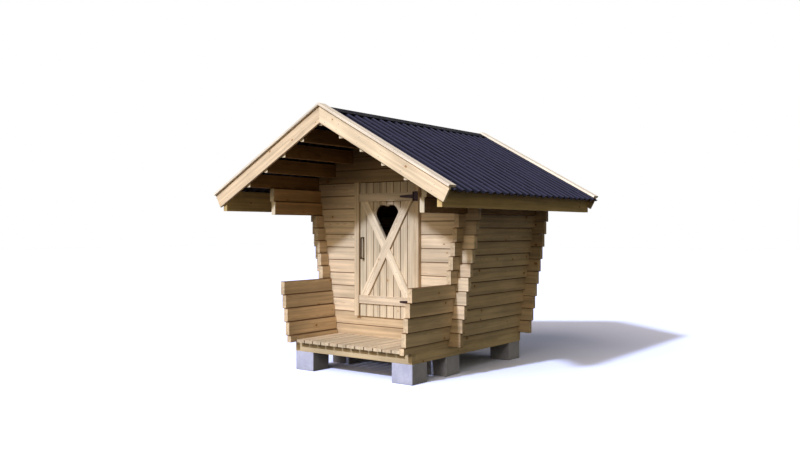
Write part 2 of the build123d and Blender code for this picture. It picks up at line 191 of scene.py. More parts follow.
# last steps of a finish: its colour, a roughness that follows a pattern, its shine and its relief
def coat(tree, shader, look, colour, pattern, height):
    tree.links.new(colour, shader.inputs["Base Color"])
    span = look.get("roughSpan", noiseSpan)
    tree.links.new(remap(tree, pattern, *span, *look["roughness"]), shader.inputs["Roughness"])
    shader.inputs["Specular IOR Level"].default_value = look["shine"]
    node = tree.nodes.new("ShaderNodeBump")
    node.inputs["Strength"].default_value, node.inputs["Distance"].default_value = look["relief"]
    tree.links.new(height, node.inputs["Height"])
    tree.links.new(node.outputs[0], shader.inputs["Normal"])


# planed pine: rings round a wandering pith, knots through the board, a tone for each board
# a grain is the scale of a noise along and across the board
pine = {
    "early": (0.77, 0.625, 0.45),
    "late": (0.60, 0.42, 0.235),
    "lateShare": 0.6,
    "pink": (1.01, 0.965, 0.94),
    "tone": (0.88, 1.10),     # darkest and palest board
    "grainShift": 7.31,       # shifts from one board to the next
    "knotShift": (31.0, 3.37),
    "ring": 0.0048,           # width of a year's growth
    "ringRise": (0.3, 0.92),  # where in the year the late wood darkens and ends
    "ringFall": (0.95, 1.0),
    "yearScale": 0.31,
    "yearTone": (0.45, 1.0),  # faintest and strongest year
    "wobble": 0.5,            # unsteady edge of the rings, in years
    "wobbleGrain": (5.0, 60.0),
    "pithAside": 0.13,        # spread of the pith to both sides of the board's middle
    "pithBelow": (0.06, 0.012),
    "sway": 0.07,             # spread of the stem's wandering along its length
    "swayGrain": (0.9, 1.0),
    "swayScale": 1.6,
    "knot": (0.46, 0.27, 0.13),
    "knotRim": (0.33, 0.18, 0.085),
    "knotCell": (0.26, 0.105),
    "knotScatter": 0.8,
    "knotShare": 0.66,        # share of the cells with no knot
    "knotSize": 0.0125,
    "knotLeast": 0.002,       # smaller knots are left out
    "knotSquash": 0.72,
    "knotRagged": (90.0, 0.003),  # scale and depth of its uneven edge
    "knotEdge": (0.0008, 0.0012),
    "coreEdge": 0.0015,
    "coreShare": 0.35,
    "haloReach": 4.5,         # reach of the bent grain round a knot, in knot sizes
    "haloPush": 0.011,
    "haloTone": 0.34,
    "streak": (0.80, 1.11),
    "streakGrain": (1.1, 38.0),
    "fibre": (0.94, 1.05),
    "fibreGrain": (16.0, 620.0),
    "stain": (0.87, 1.09),
    "stainGrain": (2.4, 7.0),
    "seam": 0.10,             # share of the face's colour left in the joint between two boards
    "joint": (0.15, 0.066, 0.024),
    "seamWidth": 0.006,
    "endFrom": None,          # where the sawn end begins along the piece
    "endSoft": 0.0005,
    "endGrain": (0.88, 0.77, 0.60),
    "roughSpan": (0.25, 0.75),
    "roughness": (0.58, 0.74),
    "shine": 0.06,
    "relief": (0.35, 0.0006),
    "raised": (0.5, 0.6, -0.4),  # rings, fibres and knots in the relief
}


def grainNoise(tree, inBoard, grain, start=0.0, **settings):
    along, across, through = inBoard
    spot = pack3(tree, calc(tree, "MULTIPLY_ADD", along, grain[0], start),
                 calc(tree, "MULTIPLY", across, grain[1]), calc(tree, "MULTIPLY", through, grain[1]))
    return noise(tree, spot, **settings)


# knots stand square to the face, one cell each, most of the cells empty
def pineKnots(tree, look, where, inBoard, board, chance):
    along, across = inBoard[:2]
    cellAlong, cellAcross = look["knotCell"]
    shiftAlong = calc(tree, "MULTIPLY", chance, look["knotShift"][0])
    shiftAcross = calc(tree, "MULTIPLY", board, look["knotShift"][1])
    knotX = calc(tree, "ADD", calc(tree, "DIVIDE", along, cellAlong), shiftAlong)
    knotY = calc(tree, "ADD", calc(tree, "DIVIDE", across, cellAcross), shiftAcross)
    cells = tree.nodes.new("ShaderNodeTexVoronoi")
    cells.voronoi_dimensions = "2D"
    cells.inputs["Scale"].default_value = 1.0
    cells.inputs["Randomness"].default_value = look["knotScatter"]
    tree.links.new(pack3(tree, knotX, knotY, 0.0), cells.inputs["Vector"])
    spotX, spotY = split3(tree, cells.outputs["Position"])[:2]
    awayX = calc(tree, "MULTIPLY", calc(tree, "SUBTRACT", spotX, knotX), cellAlong * look["knotSquash"])
    awayY = calc(tree, "MULTIPLY", calc(tree, "SUBTRACT", spotY, knotY), cellAcross)
    raggedScale, raggedDepth = look["knotRagged"]
    ragged = scatter(tree, noise(tree, where, raggedScale, 1.0), raggedDepth)
    away = calc(tree, "ADD", ragged, distance(tree, awayX, awayY))
    drawn = split3(tree, cells.outputs["Color"])[0]
    size = remap(tree, drawn, look["knotShare"], 1.0, 0.0, look["knotSize"], smooth=False)
    outside, inside = look["knotEdge"]
    knotFrom, knotFull = calc(tree, "ADD", size, outside), calc(tree, "SUBTRACT", size, inside)
    knot = remap(tree, away, knotFrom, knotFull, 0.0, 1.0)
    knot = calc(tree, "MULTIPLY", knot, calc(tree, "GREATER_THAN", size, look["knotLeast"]))
    coreFrom = calc(tree, "SUBTRACT", size, look["coreEdge"])
    core = remap(tree, away, coreFrom, calc(tree, "MULTIPLY", size, look["coreShare"]), 0.0, 1.0)
    halo = remap(tree, away, calc(tree, "MULTIPLY", size, look["haloReach"]), size, 0.0, 1.0)
    return knot, core, halo


# growth rings round the pith, pushed aside by the knots
def pineRings(tree, look, inBoard, start, chanceA, chanceB, halo):
    across, through = inBoard[1:]
    sway = grainNoise(tree, inBoard, look["swayGrain"], start, scale=look["swayScale"], detail=1.0,
                      output="Color")
    swayA, swayB = split3(tree, sway)[:2]
    ringA = calc(tree, "ADD", across, scatter(tree, chanceA, look["pithAside"]))
    ringA = calc(tree, "ADD", ringA, scatter(tree, swayA, look["sway"]))
    ringB = calc(tree, "ADD", through, calc(tree, "MULTIPLY_ADD", chanceB, *look["pithBelow"]))
    ringB = calc(tree, "ADD", ringB, scatter(tree, swayB, look["sway"]))
    radius = calc(tree, "MULTIPLY_ADD", halo, look["haloPush"], distance(tree, ringA, ringB))
    wobble = grainNoise(tree, inBoard, look["wobbleGrain"])
    phase = calc(tree, "MULTIPLY_ADD", wobble, look["wobble"], calc(tree, "DIVIDE", radius, look["ring"]))
    turn = calc(tree, "FRACT", phase)
    rise = remap(tree, turn, *look["ringRise"], 0.0, 1.0)
    fall = remap(tree, turn, *look["ringFall"], 1.0, 0.0)
    year = noise(tree, pack3(tree, phase, 0.0, 0.0), look["yearScale"], 1.0)
    strength = remap(tree, year, *noiseSpan, *look["yearTone"])
    return calc(tree, "MULTIPLY", calc(tree, "MULTIPLY", rise, fall), strength)


def pineFinish(name, place, seamAt=None, **changes):
    look = {**pine, **changes}
    material, tree, shader, where = newFinish(name)
    *inBoard, board = place(tree, *split3(tree, where))
    white = tree.nodes.new("ShaderNodeTexWhiteNoise")
    white.noise_dimensions = "1D"
    tree.links.new(board, white.inputs["W"])
    chanceA, chanceB, chanceC = split3(tree, white.outputs["Color"])
    start = calc(tree, "MULTIPLY", board, look["grainShift"])
    knot, core, halo = pineKnots(tree, look, where, inBoard, board, chanceC)
    rings = pineRings(tree, look, inBoard, start, chanceA, chanceB, halo)
    late = calc(tree, "MULTIPLY", rings, look["lateShare"])

    # long streaks, short fibres and broad stains
    streak = grainNoise(tree, inBoard, look["streakGrain"], start, detail=3.0)
    fibre = grainNoise(tree, inBoard, look["fibreGrain"])
    stain = grainNoise(tree, inBoard, look["stainGrain"], start)
    colour = blend(tree, late, look["early"], look["late"])
    for pattern, tones in ((streak, look["streak"]), (fibre, look["fibre"]), (stain, look["stain"])):
        colour = brighten(tree, colour, remap(tree, pattern, *noiseSpan, *tones))
    colour = brighten(tree, colour, remap(tree, chanceB, 0.0, 1.0, *look["tone"], smooth=False))
    colour = blend(tree, chanceA, colour, blend(tree, 1.0, colour, look["pink"], "MULTIPLY"))
    colour = blend(tree, calc(tree, "MULTIPLY", halo, look["haloTone"]), colour, look["late"])
    colour = blend(tree, knot, colour, blend(tree, core, look["knotRim"], look["knot"]))

    # dark joints beside the next board, and pale sawn ends
    along, across = inBoard[:2]
    if seamAt is not None:
        offMid = calc(tree, "ABSOLUTE", across)
        depth = remap(tree, offMid, seamAt - look["seamWidth"], seamAt, 0.0, 1.0 - look["seam"])
        colour = blend(tree, depth, colour, look["joint"])
    if look["endFrom"] is not None:
        offMid = calc(tree, "ABSOLUTE", along)
        sawnFrom, sawnFull = look["endFrom"] - look["endSoft"], look["endFrom"] + look["endSoft"]
        sawn = remap(tree, offMid, sawnFrom, sawnFull, 0.0, 1.0)
        colour = blend(tree, sawn, colour, blend(tree, late, look["endGrain"], look["early"]))
    ringRaised, fibreRaised, knotRaised = look["raised"]
    height = calc(tree, "MULTIPLY_ADD", rings, ringRaised, calc(tree, "MULTIPLY", fibre, fibreRaised))
    height = calc(tree, "MULTIPLY_ADD", knot, knotRaised, height)
    coat(tree, shader, look, colour, fibre, height)
    return material


# each kind of piece numbers its boards from here, so that no two kinds share their grain
firstBoard = {
    "frontLogs": 0.0, "besideDoor": 20.0, "rearLogs": 100.0, "sideLogs": 140.0, "purlins": 240.0,
    "deck": 280.0, "floor": 295.0, "door": 310.0, "posts": 330.0, "rails": 340.0, "brace": 350.0,
    "barge": 360.0, "caps": 380.0, "eaves": 400.0, "bearers": 410.0, "joists": 420.0,
    # added on the right or at the rear
    "otherSide": 3.0, "otherEnd": 7.0, "otherJamb": 40.0, "otherWall": 60.0,
    "nudge": 0.0006,          # keeps a face in the joint with its own board
}


# where the grain runs in each kind of piece: along, across and through the board, and its number
def boardNumber(tree, value, pitch, kind):
    steps = calc(tree, "ADD", calc(tree, "DIVIDE", value, pitch), firstBoard["nudge"])
    number = calc(tree, "FLOOR", steps)
    inside = scatter(tree, calc(tree, "SUBTRACT", steps, number), pitch)
    return calc(tree, "ADD", number, firstBoard[kind]), inside


def sideOf(tree, value, added):
    return calc(tree, "MULTIPLY", calc(tree, "GREATER_THAN", value, 0.0), firstBoard[added])


def offMiddle(tree, value, middle):
    return calc(tree, "SUBTRACT", calc(tree, "ABSOLUTE", value), middle)


def crossLogPlace(midY, kind, splitAtDoor=False):
    def place(tree, x, y, z):
        number, across = boardNumber(tree, calc(tree, "SUBTRACT", z, hut["base"]), hut["course"], kind)
        if splitAtDoor:
            number = calc(tree, "ADD", number, sideOf(tree, x, "otherJamb"))
        return x, across, calc(tree, "SUBTRACT", y, midY), number
    return place


def sideLogPlace(kind):
    def place(tree, x, y, z):
        height = calc(tree, "SUBTRACT", z, hut["base"] - hut["course"] / 2)
        number, across = boardNumber(tree, height, hut["course"], kind)
        number = calc(tree, "ADD", number, sideOf(tree, x, "otherWall"))
        return y, across, offMiddle(tree, x, hut["leanMid"]), number
    return place


def deckPlace(kind):
    def place(tree, x, y, z):
        number, across = boardNumber(tree, x, hut["deckPitch"], kind)
        return y, across, calc(tree, "SUBTRACT", z, hut["base"]), number
    return place


def doorBoardPlace(tree, x, y, z):
    number, across = boardNumber(tree, x, hut["doorPitch"], "door")
    return z, across, calc(tree, "SUBTRACT", y, hut["doorMid"]), number


def postPlace(tree, x, y, z):
    number = calc(tree, "ADD", sideOf(tree, x, "otherSide"), firstBoard["posts"])
    return z, offMiddle(tree, x, hut["postMid"]), calc(tree, "SUBTRACT", y, hut["doorMid"]), number


def railPlace(tree, x, y, z):
    low, high = hut["railMid"]
    upper = calc(tree, "GREATER_THAN", z, hut["braceMid"])
    across = calc(tree, "SUBTRACT", z, calc(tree, "MULTIPLY_ADD", upper, high - low, low))
    number = calc(tree, "ADD", upper, firstBoard["rails"])
    return x, across, calc(tree, "SUBTRACT", y, hut["railFace"]), number


def bracePlace(tree, x, y, z):
    up = calc(tree, "SUBTRACT", z, hut["braceMid"])
    cosine, sine = math.cos(hut["braceAngle"]), math.sin(hut["braceAngle"])
    offRise = calc(tree, "SUBTRACT", calc(tree, "MULTIPLY", up, cosine), calc(tree, "MULTIPLY", x, sine))
    offFall = calc(tree, "ADD", calc(tree, "MULTIPLY", up, cosine), calc(tree, "MULTIPLY", x, sine))
    falling = calc(tree, "GREATER_THAN", calc(tree, "ABSOLUTE", offRise), hut["braceHalf"])
    rising = calc(tree, "SUBTRACT", 1.0, falling)
    lean = calc(tree, "SUBTRACT", rising, falling)
    sideways = calc(tree, "MULTIPLY", calc(tree, "MULTIPLY", x, lean), cosine)
    along = calc(tree, "MULTIPLY_ADD", up, sine, sideways)
    across = calc(tree, "ADD", calc(tree, "MULTIPLY", offFall, falling),
                  calc(tree, "MULTIPLY", offRise, rising))
    number = calc(tree, "ADD", falling, firstBoard["brace"])
    return along, across, calc(tree, "SUBTRACT", y, hut["railFace"]), number


def slopePlace(kind):
    def place(tree, x, y, z):
        out = calc(tree, "ABSOLUTE", x)
        drop = calc(tree, "SUBTRACT", hut["apex"], z)
        along = calc(tree, "ADD", calc(tree, "MULTIPLY", out, slopeCosine),
                     calc(tree, "MULTIPLY", drop, slopeSine))
        across = calc(tree, "SUBTRACT", calc(tree, "MULTIPLY", out, slopeSine),
                      calc(tree, "MULTIPLY", drop, slopeCosine))
        number = calc(tree, "ADD", sideOf(tree, x, "otherSide"), sideOf(tree, y, "otherEnd"))
        return along, across, offMiddle(tree, y, hut["gable"]), calc(tree, "ADD", number, firstBoard[kind])
    return place


def longBeamPlace(middle, kind):
    def place(tree, x, y, z):
        number = calc(tree, "ADD", sideOf(tree, x, "otherSide"), firstBoard[kind])
        return y, calc(tree, "SUBTRACT", z, middle[1]), offMiddle(tree, x, middle[0]), number
    return place


def joistPlace(tree, x, y, z):
    number, through = boardNumber(tree, y, hut["joistPitch"], "joists")
    through = calc(tree, "MULTIPLY", through, hut["joistShare"])
    return x, calc(tree, "SUBTRACT", z, hut["bearerMid"][1]), through, number


frontLogs = crossLogPlace(hut["wallMidFront"], "frontLogs")
besideDoor = crossLogPlace(hut["wallMidFront"], "besideDoor", splitAtDoor=True)
rearLogs = crossLogPlace(hut["wallMidRear"], "rearLogs")
sideLogs, purlins = sideLogPlace("sideLogs"), sideLogPlace("purlins")
eaves, bearers = longBeamPlace(hut["eaveMid"], "eaves"), longBeamPlace(hut["bearerMid"], "bearers")
# dark joints of the side logs, made wider and darker as painted shadow under each leaning log
sideJointAndShadow = {"seam": 0.06, "seamWidth": 0.0085}
# place, joint and changes from the plain pine of each wooden finish
pineLooks = {
    # painted shade: the sill logs below the doorway a darker copy of the plain pine
    "logSillPaintedShadePine": (frontLogs, hut["logSeam"], {"early": (0.61, 0.47, 0.32)}),
    # painted shade: the gable logs under the roof a darker copy of the plain pine
    "logGablePaintedShadePine": (frontLogs, hut["logSeam"], {"early": (0.53, 0.39, 0.23), "late": (0.42, 0.28, 0.14)}),
    # painted light: the logs beside the doorway a paler copy of the plain pine
    "logBesideDoorPaintedLightPine": (besideDoor, hut["logSeam"], {"early": (0.85, 0.70, 0.53)}),
    "logRearPine": (rearLogs, hut["logSeam"], {}),
    "logSidePine": (sideLogs, hut["logSeam"], sideJointAndShadow),
    # painted shade: the top side logs that carry the eave darker than the plain pine, with their sawn ends
    # left pale
    "bracketPaintedShadePine": (sideLogs, hut["logSeam"], {"early": (0.54, 0.36, 0.18), "late": (0.43, 0.26, 0.11),
                                               "endFrom": hut["bracketEnd"], **sideJointAndShadow}),
    # painted shade: the purlins under the roof far darker than the plain pine, with their sawn ends left
    # pale where the light reaches them
    "purlinPaintedShadePine": (purlins, None, {"early": (0.27, 0.155, 0.06), "late": (0.18, 0.09, 0.03),
                                   "endFrom": hut["purlinEnd"]}),
    "deckPine": (deckPlace("deck"), hut["deckSeam"], {"early": (0.67, 0.57, 0.44), "seam": 0.75,
                                                      "knotSize": 0.009}),
    "floorPine": (deckPlace("floor"), hut["deckSeam"], {"early": (0.74, 0.59, 0.42), "knotSize": 0.009}),
    "doorPine": (doorBoardPlace, hut["doorSeam"], {"early": (0.76, 0.67, 0.53), "knotSize": 0.008}),
    "railPine": (railPlace, None, {"early": (0.72, 0.61, 0.49), "knotSize": 0.008}),
    "bracePine": (bracePlace, None, {"early": (0.95, 0.82, 0.655), "knotSize": 0.007}),
    "postPine": (postPlace, None, {"early": (0.80, 0.66, 0.49), "knotSize": 0.007}),
    "bargePine": (slopePlace("barge"), None, {"early": (0.90, 0.75, 0.56), "late": (0.74, 0.56, 0.37),
                                              "knotSize": 0.010}),
    # painted light: the cap boards nearly white, paler than the barge boards, for the light on their tops
    "capPaintedLightPine": (slopePlace("caps"), None, {"early": (0.98, 0.90, 0.80), "late": (0.90, 0.79, 0.66),
                                           "knotSize": 0.007}),
    # painted shade: the eave boards under the roof darker than the plain pine
    "eavePaintedShadePine": (eaves, None, {"early": (0.60, 0.46, 0.22)}),
    "bearerPine": (bearers, None, {"early": (0.70, 0.57, 0.39), "knotSize": 0.01}),
    "joistPine": (joistPlace, None, {"early": (0.74, 0.60, 0.40), "knotSize": 0.01}),
}
finishes = {}
for name, (place, seamAt, changes) in pineLooks.items():
    finishes[name] = pineFinish(name, place, seamAt, **changes)
print("pine finishes made", len(finishes))

# dark fibre-bitumen sheet: fine grit, paler crests painted as highlight, dust in the valleys
sheetLook = {
    "deep": (0.003, 0.003, 0.008),
    # painted highlight: the pale colour of the lit crests, also the colour of the sheet's random mottling
    "crest": (0.060, 0.060, 0.112),
    "dust": (0.018, 0.018, 0.028),
    "ridge": (0.004, 0.004, 0.007),
    "ridgeWorn": (0.010, 0.010, 0.017),
    # painted shade: dark brown for the undersides of the sheets
    "below": (0.010, 0.007, 0.005),
    "belowPale": (0.020, 0.014, 0.010),
    "grit": 900.0,
    "gritTone": (0.8, 1.2),
    "cloud": (5.0, 3.0),      # scale and detail of the noise
    "cloudSpan": (0.35, 0.7),
    "cloudShare": 0.3,
    "wave": (0.0125, 0.0245),  # from the foot of the painted crest highlight to its top, over the slope
    "crestLightShare": 0.95,
    "streaks": (2.0, 45.0),   # scale of the dust's streaks down the slope and along the ridge
    "streakSpan": (0.5, 0.75),
    "dustShare": 0.35,
    "dustTop": 0.5,           # how far up the wave the dust lies
    "roughness": (0.62, 0.78),
    "shine": 0.05,
    "relief": (0.4, 0.0008),
}


def sheetFinish(name, deep, worn, waves=False):
    look = sheetLook
    material, tree, shader, where = newFinish(name)
    x, y, z = split3(tree, where)
    grit = noise(tree, where, look["grit"])
    cloud = noise(tree, where, *look["cloud"])
    colour = blend(tree, remap(tree, cloud, *look["cloudSpan"], 0.0, look["cloudShare"]), deep, worn)
    if waves:
        # height of the wave over the roof's slope
        out = calc(tree, "MULTIPLY", calc(tree, "ABSOLUTE", x), slopeSine)
        up = calc(tree, "MULTIPLY", calc(tree, "SUBTRACT", z, hut["apex"]), slopeCosine)
        high = remap(tree, calc(tree, "ADD", out, up), *look["wave"], 0.0, 1.0)
        # painted highlight: the higher part of each wave paler, as the light catches the crests
        colour = blend(tree, calc(tree, "MULTIPLY", high, look["crestLightShare"]), colour, look["crest"])
        streakX = calc(tree, "MULTIPLY", x, look["streaks"][0])
        streakY = calc(tree, "MULTIPLY", y, look["streaks"][1])
        streaks = noise(tree, pack3(tree, streakX, streakY, 0.0), detail=3.0)
        dusty = remap(tree, streaks, *look["streakSpan"], 0.0, look["dustShare"])
        dusty = calc(tree, "MULTIPLY", remap(tree, high, 0.0, look["dustTop"], 1.0, 0.0), dusty)
        colour = blend(tree, dusty, colour, look["dust"])
    colour = brighten(tree, colour, remap(tree, grit, *noiseSpan, *look["gritTone"]))
    coat(tree, shader, look, colour, cloud, grit)
    return material


finishes["roofSheet"] = sheetFinish("roofSheet", sheetLook["deep"], sheetLook["crest"], waves=True)
# painted shade: a dark brown finish for the faces of the sheets that face down
finishes["roofUndersidePaintedShade"] = sheetFinish("roofUndersidePaintedShade", sheetLook["below"], sheetLook["belowPale"])
finishes["ridgeSheet"] = sheetFinish("ridgeSheet", sheetLook["ridge"], sheetLook["ridgeWorn"])

# cast concrete: cloudy cement skin with fine sand and pores, darker at the foot
castLook = {
    "pale": (0.60, 0.62, 0.83),
    "grey": (0.48, 0.50, 0.70),
    "pore": (0.24, 0.25, 0.36),
    "cloud": (9.0, 4.0, 0.6),  # scale, detail and roughness of the noise
    "sand": 420.0,
    "sandTone": (0.9, 1.08),
    "sandRaised": 0.5,
    "pores": 70.0,
    "poreEdge": (0.24, 0.12),
    "poreless": 0.72,         # share of the cells with no pore
    "poreShare": 0.7,
    "foot": 0.05,
    "footTone": 0.86,
    "roughness": (0.8, 0.95),
    "shine": 0.08,
    "relief": (0.5, 0.0012),
}


def concreteFinish(name):
    look = castLook
    material, tree, shader, where = newFinish(name)
    cloud = noise(tree, where, *look["cloud"])
    sand = noise(tree, where, look["sand"])
    pores = tree.nodes.new("ShaderNodeTexVoronoi")
    pores.inputs["Scale"].default_value = look["pores"]
    tree.links.new(where, pores.inputs["Vector"])
    drawn = split3(tree, pores.outputs["Color"])[0]
    pore = remap(tree, pores.outputs["Distance"], *look["poreEdge"], 0.0, 1.0)
    pore = calc(tree, "MULTIPLY", pore, calc(tree, "GREATER_THAN", drawn, look["poreless"]))
    colour = blend(tree, remap(tree, cloud, *noiseSpan, 0.0, 1.0), look["grey"], look["pale"])
    colour = brighten(tree, colour, remap(tree, sand, *noiseSpan, *look["sandTone"]))
    colour = blend(tree, calc(tree, "MULTIPLY", pore, look["poreShare"]), colour, look["pore"])
    z = split3(tree, where)[2]
    colour = brighten(tree, colour, remap(tree, z, 0.0, look["foot"], look["footTone"], 1.0))
    height = calc(tree, "SUBTRACT", calc(tree, "MULTIPLY", sand, look["sandRaised"]), pore)
    coat(tree, shader, look, colour, sand, height)
    return material


finishes["castConcrete"] = concreteFinish("castConcrete")

# dark painted iron with worn brown spots
ironLook = {
    "paint": (0.036, 0.016, 0.014),
    "worn": (0.085, 0.042, 0.03),
    "pullPaint": (0.085, 0.052, 0.027),
    "pullWorn": (0.13, 0.085, 0.048),
    "hammer": 160.0,
    "wear": (45.0, 4.0, 0.65),
    "wearSpan": (0.52, 0.72),
    "wearShare": 0.8,
    "roughness": (0.34, 0.52),
    "shine": 0.15,
    "relief": (0.3, 0.0006),
}


def ironFinish(name, paint, worn):
    look = ironLook
    material, tree, shader, where = newFinish(name)
    hammer = noise(tree, where, look["hammer"])
    wear = noise(tree, where, *look["wear"])
    colour = blend(tree, remap(tree, wear, *look["wearSpan"], 0.0, look["wearShare"]), paint, worn)
    coat(tree, shader, look, colour, hammer, hammer)
    return material


finishes["blackIron"] = ironFinish("blackIron", ironLook["paint"], ironLook["worn"])
finishes["brownIron"] = ironFinish("brownIron", ironLook["pullPaint"], ironLook["pullWorn"])

# plain zinc for nails and screws, and flax for the bands between the logs
zincLook = {
    "pale": (0.42, 0.41, 0.39), "dull": (0.24, 0.23, 0.22), "speckle": (700.0, 3.0, 0.5), "metal": 0.85,
    "roughness": (0.35, 0.55), "shine": 0.5, "relief": (0.2, 0.0002),
}
flaxLook = {
    "pale": (0.36, 0.30, 0.20), "dull": (0.22, 0.19, 0.14), "speckle": (260.0, 4.0, 0.7), "metal": 0.0,
    "roughness": (0.85, 1.0), "shine": 0.5, "relief": (0.3, 0.0005),
}


def speckledFinish(name, look):
    material, tree, shader, where = newFinish(name)
    speckle = noise(tree, where, *look["speckle"])
    shader.inputs["Metallic"].default_value = look["metal"]
    coat(tree, shader, look, blend(tree, speckle, look["dull"], look["pale"]), speckle, speckle)
    return material


finishes["zinc"] = speckledFinish("zinc", zincLook)
finishes["flaxBand"] = speckledFinish("flaxBand", flaxLook)
print("roof, concrete, metal and flax finishes made")

# which finish each CAD node wears, by the start of its name; the first match counts
nodeFinish = {
    "front_sill_logs": "logSillPaintedShadePine", "front_gable_logs": "logGablePaintedShadePine",
    "front_wall_logs": "logBesideDoorPaintedLightPine", "rear_": "logRearPine",
    "side_bracket": "bracketPaintedShadePine", "side_": "logSidePine",
    "purlins_": "purlinPaintedShadePine", "ridge_purlin": "purlinPaintedShadePine",
    "porch_deck": "deckPine", "cabin_floor": "floorPine",
    "door_boards": "doorPine", "door_rails": "railPine", "door_brace": "bracePine", "door_post": "postPine",
    "barge_": "bargePine", "cap_": "capPaintedLightPine", "eave_": "eavePaintedShadePine", "bearer_": "bearerPine",
    "cross_joists": "joistPine", "roof_sheet": "roofSheet", "ridge_cap": "ridgeSheet",
    "block_": "castConcrete", "hinge_": "blackIron", "door_pull": "brownIron",
}
for nodeName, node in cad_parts.items():
    chosen = [finish for start, finish in nodeFinish.items() if nodeName.startswith(start)][0]
    node.data.materials.clear()
    node.data.materials.append(finishes[chosen])
print("CAD nodes dressed")


# modelling helpers
def deselectAll():
    if bpy.context.mode != "OBJECT":
        bpy.ops.object.mode_set(mode="OBJECT")
    bpy.ops.object.select_all(action="DESELECT")


# selects the points, edges or faces that are wanted, and leaves the piece in edit mode
def pick(piece, kind, wanted):
    bpy.ops.object.mode_set(mode="EDIT")
    bpy.ops.mesh.select_mode(type=kind)
    bpy.ops.mesh.select_all(action="DESELECT")
    bpy.ops.object.mode_set(mode="OBJECT")
    mesh = piece.data
    items = {"VERT": mesh.vertices, "EDGE": mesh.edges, "FACE": mesh.polygons}[kind]
    picked = [item for item in items if wanted(item)]
    for item in picked:
        item.select = True
    bpy.ops.object.mode_set(mode="EDIT")
    return len(picked)


def twinOf(master):
    twin = master.copy()
    twin.data = master.data.copy()
    bpy.context.collection.objects.link(twin)
    return twin


def joinCopies(copies, name, finish, body):
    deselectAll()
    for twin in copies:
        twin.select_set(True)
    bpy.context.view_layer.objects.active = copies[0]
    bpy.ops.object.join()
    bpy.ops.object.transform_apply(location=True, rotation=True, scale=True)
    joined = bpy.context.object
    joined.name = name
    joined.data.name = name
    joined.data.materials.clear()
    joined.data.materials.append(finishes[finish])
    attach(joined, body)


# a copy of a CAD node with its points welded, left in edit mode with all of it selected
def weldedCopy(nodeName, name, weld):
    piece = twinOf(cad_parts[nodeName])
    for key in list(piece.keys()):
        del piece[key]
    piece.parent = None
    piece.name = name
    deselectAll()
    piece.select_set(True)
    bpy.context.view_layer.objects.active = piece
    bpy.ops.object.mode_set(mode="EDIT")
    bpy.ops.mesh.select_all(action="SELECT")
    bpy.ops.mesh.remove_doubles(threshold=weld)
    return piece


# a round head, made once at the origin and facing up: a disc whose top is raised or sunk in two steps
headShape = {"stepShares": (0.35, 0.25), "topFacing": 0.9}


def modelHead(look):
    deselectAll()
    bpy.ops.mesh.primitive_cylinder_add(vertices=look["sides"], radius=look["radius"], depth=look["rim"])
    head = bpy.context.object
    pick(head, "FACE", lambda face: face.normal.z > headShape["topFacing"])
    for share, depth in zip(headShape["stepShares"], (look["crown"], look["middle"])):
        bpy.ops.mesh.inset(thickness=look["radius"] * share, depth=depth)
    bpy.ops.object.mode_set(mode="OBJECT")
    return head


def plantHeads(name, look, places, body):
    master = modelHead(look)
    copies = []
    for spot, facing in places:
        twin = twinOf(master)
        twin.location = spot
        twin.rotation_euler = Vector(facing).to_track_quat("Z", "Y").to_euler()
        copies.append(twin)
    bpy.data.meshes.remove(master.data)
    print(name, len(copies), "pieces")
    joinCopies(copies, name, look["finish"], body)


toFront, toRear, upward = (0, -1, 0), (0, 1, 0), (0, 0, 1)

# deck screws, two in each board over the front joist and over the beam at the wall
deckScrew = {
    "radius": 0.0042, "rim": 0.0012, "crown": 0.0002, "middle": -0.0006, "sides": 10, "finish": "zinc",
    "rows": (-0.8315, -0.375), "spread": 0.024, "boards": 12,
}
places = []
for board in range(deckScrew["boards"]):
    boardX = (board - (deckScrew["boards"] - 1) / 2) * hut["deckPitch"]
    for rowY in deckScrew["rows"]:
        for side in (-1, 1):
            places.append(((boardX + side * deckScrew["spread"], rowY, hut["deckTop"]), upward))
plantHeads("deckScrews", deckScrew, places, "cabin")

# nails in the door's ledges and along the arms of its brace
doorNail = {
    "radius": 0.0030, "rim": 0.0010, "crown": 0.0004, "middle": 0.0001, "sides": 8, "finish": "zinc",
    "offMid": 0.026, "along": (0.11, 0.23, 0.34, 0.43),
}
places = []
for railZ in hut["railMid"]:
    for board in range(hut["doorBoards"]):
        boardX = (board - (hut["doorBoards"] - 1) / 2) * hut["doorPitch"]
        for side in (-1, 1):
            places.append(((boardX, hut["railFace"], railZ + side * doorNail["offMid"]), toFront))
for along in doorNail["along"]:
    for sideX in (-1, 1):
        for sideZ in (-1, 1):
            nailX = sideX * along * math.cos(hut["braceAngle"])
            nailZ = hut["braceMid"] + sideZ * along * math.sin(hut["braceAngle"])
            places.append(((nailX, hut["railFace"], nailZ), toFront))
plantHeads("doorNails", doorNail, places, "door")

# nails through the door posts into the log ends
postNail = {**doorNail, "x": 0.324, "courses": (2.5, 5.5, 7.5, 9.5)}
places = []
for side in (-1, 1):
    for course in postNail["courses"]:
        nailZ = hut["base"] + course * hut["course"]
        places.append(((side * postNail["x"], hut["railFace"], nailZ), toFront))
plantHeads("postNails", postNail, places, "cabin")

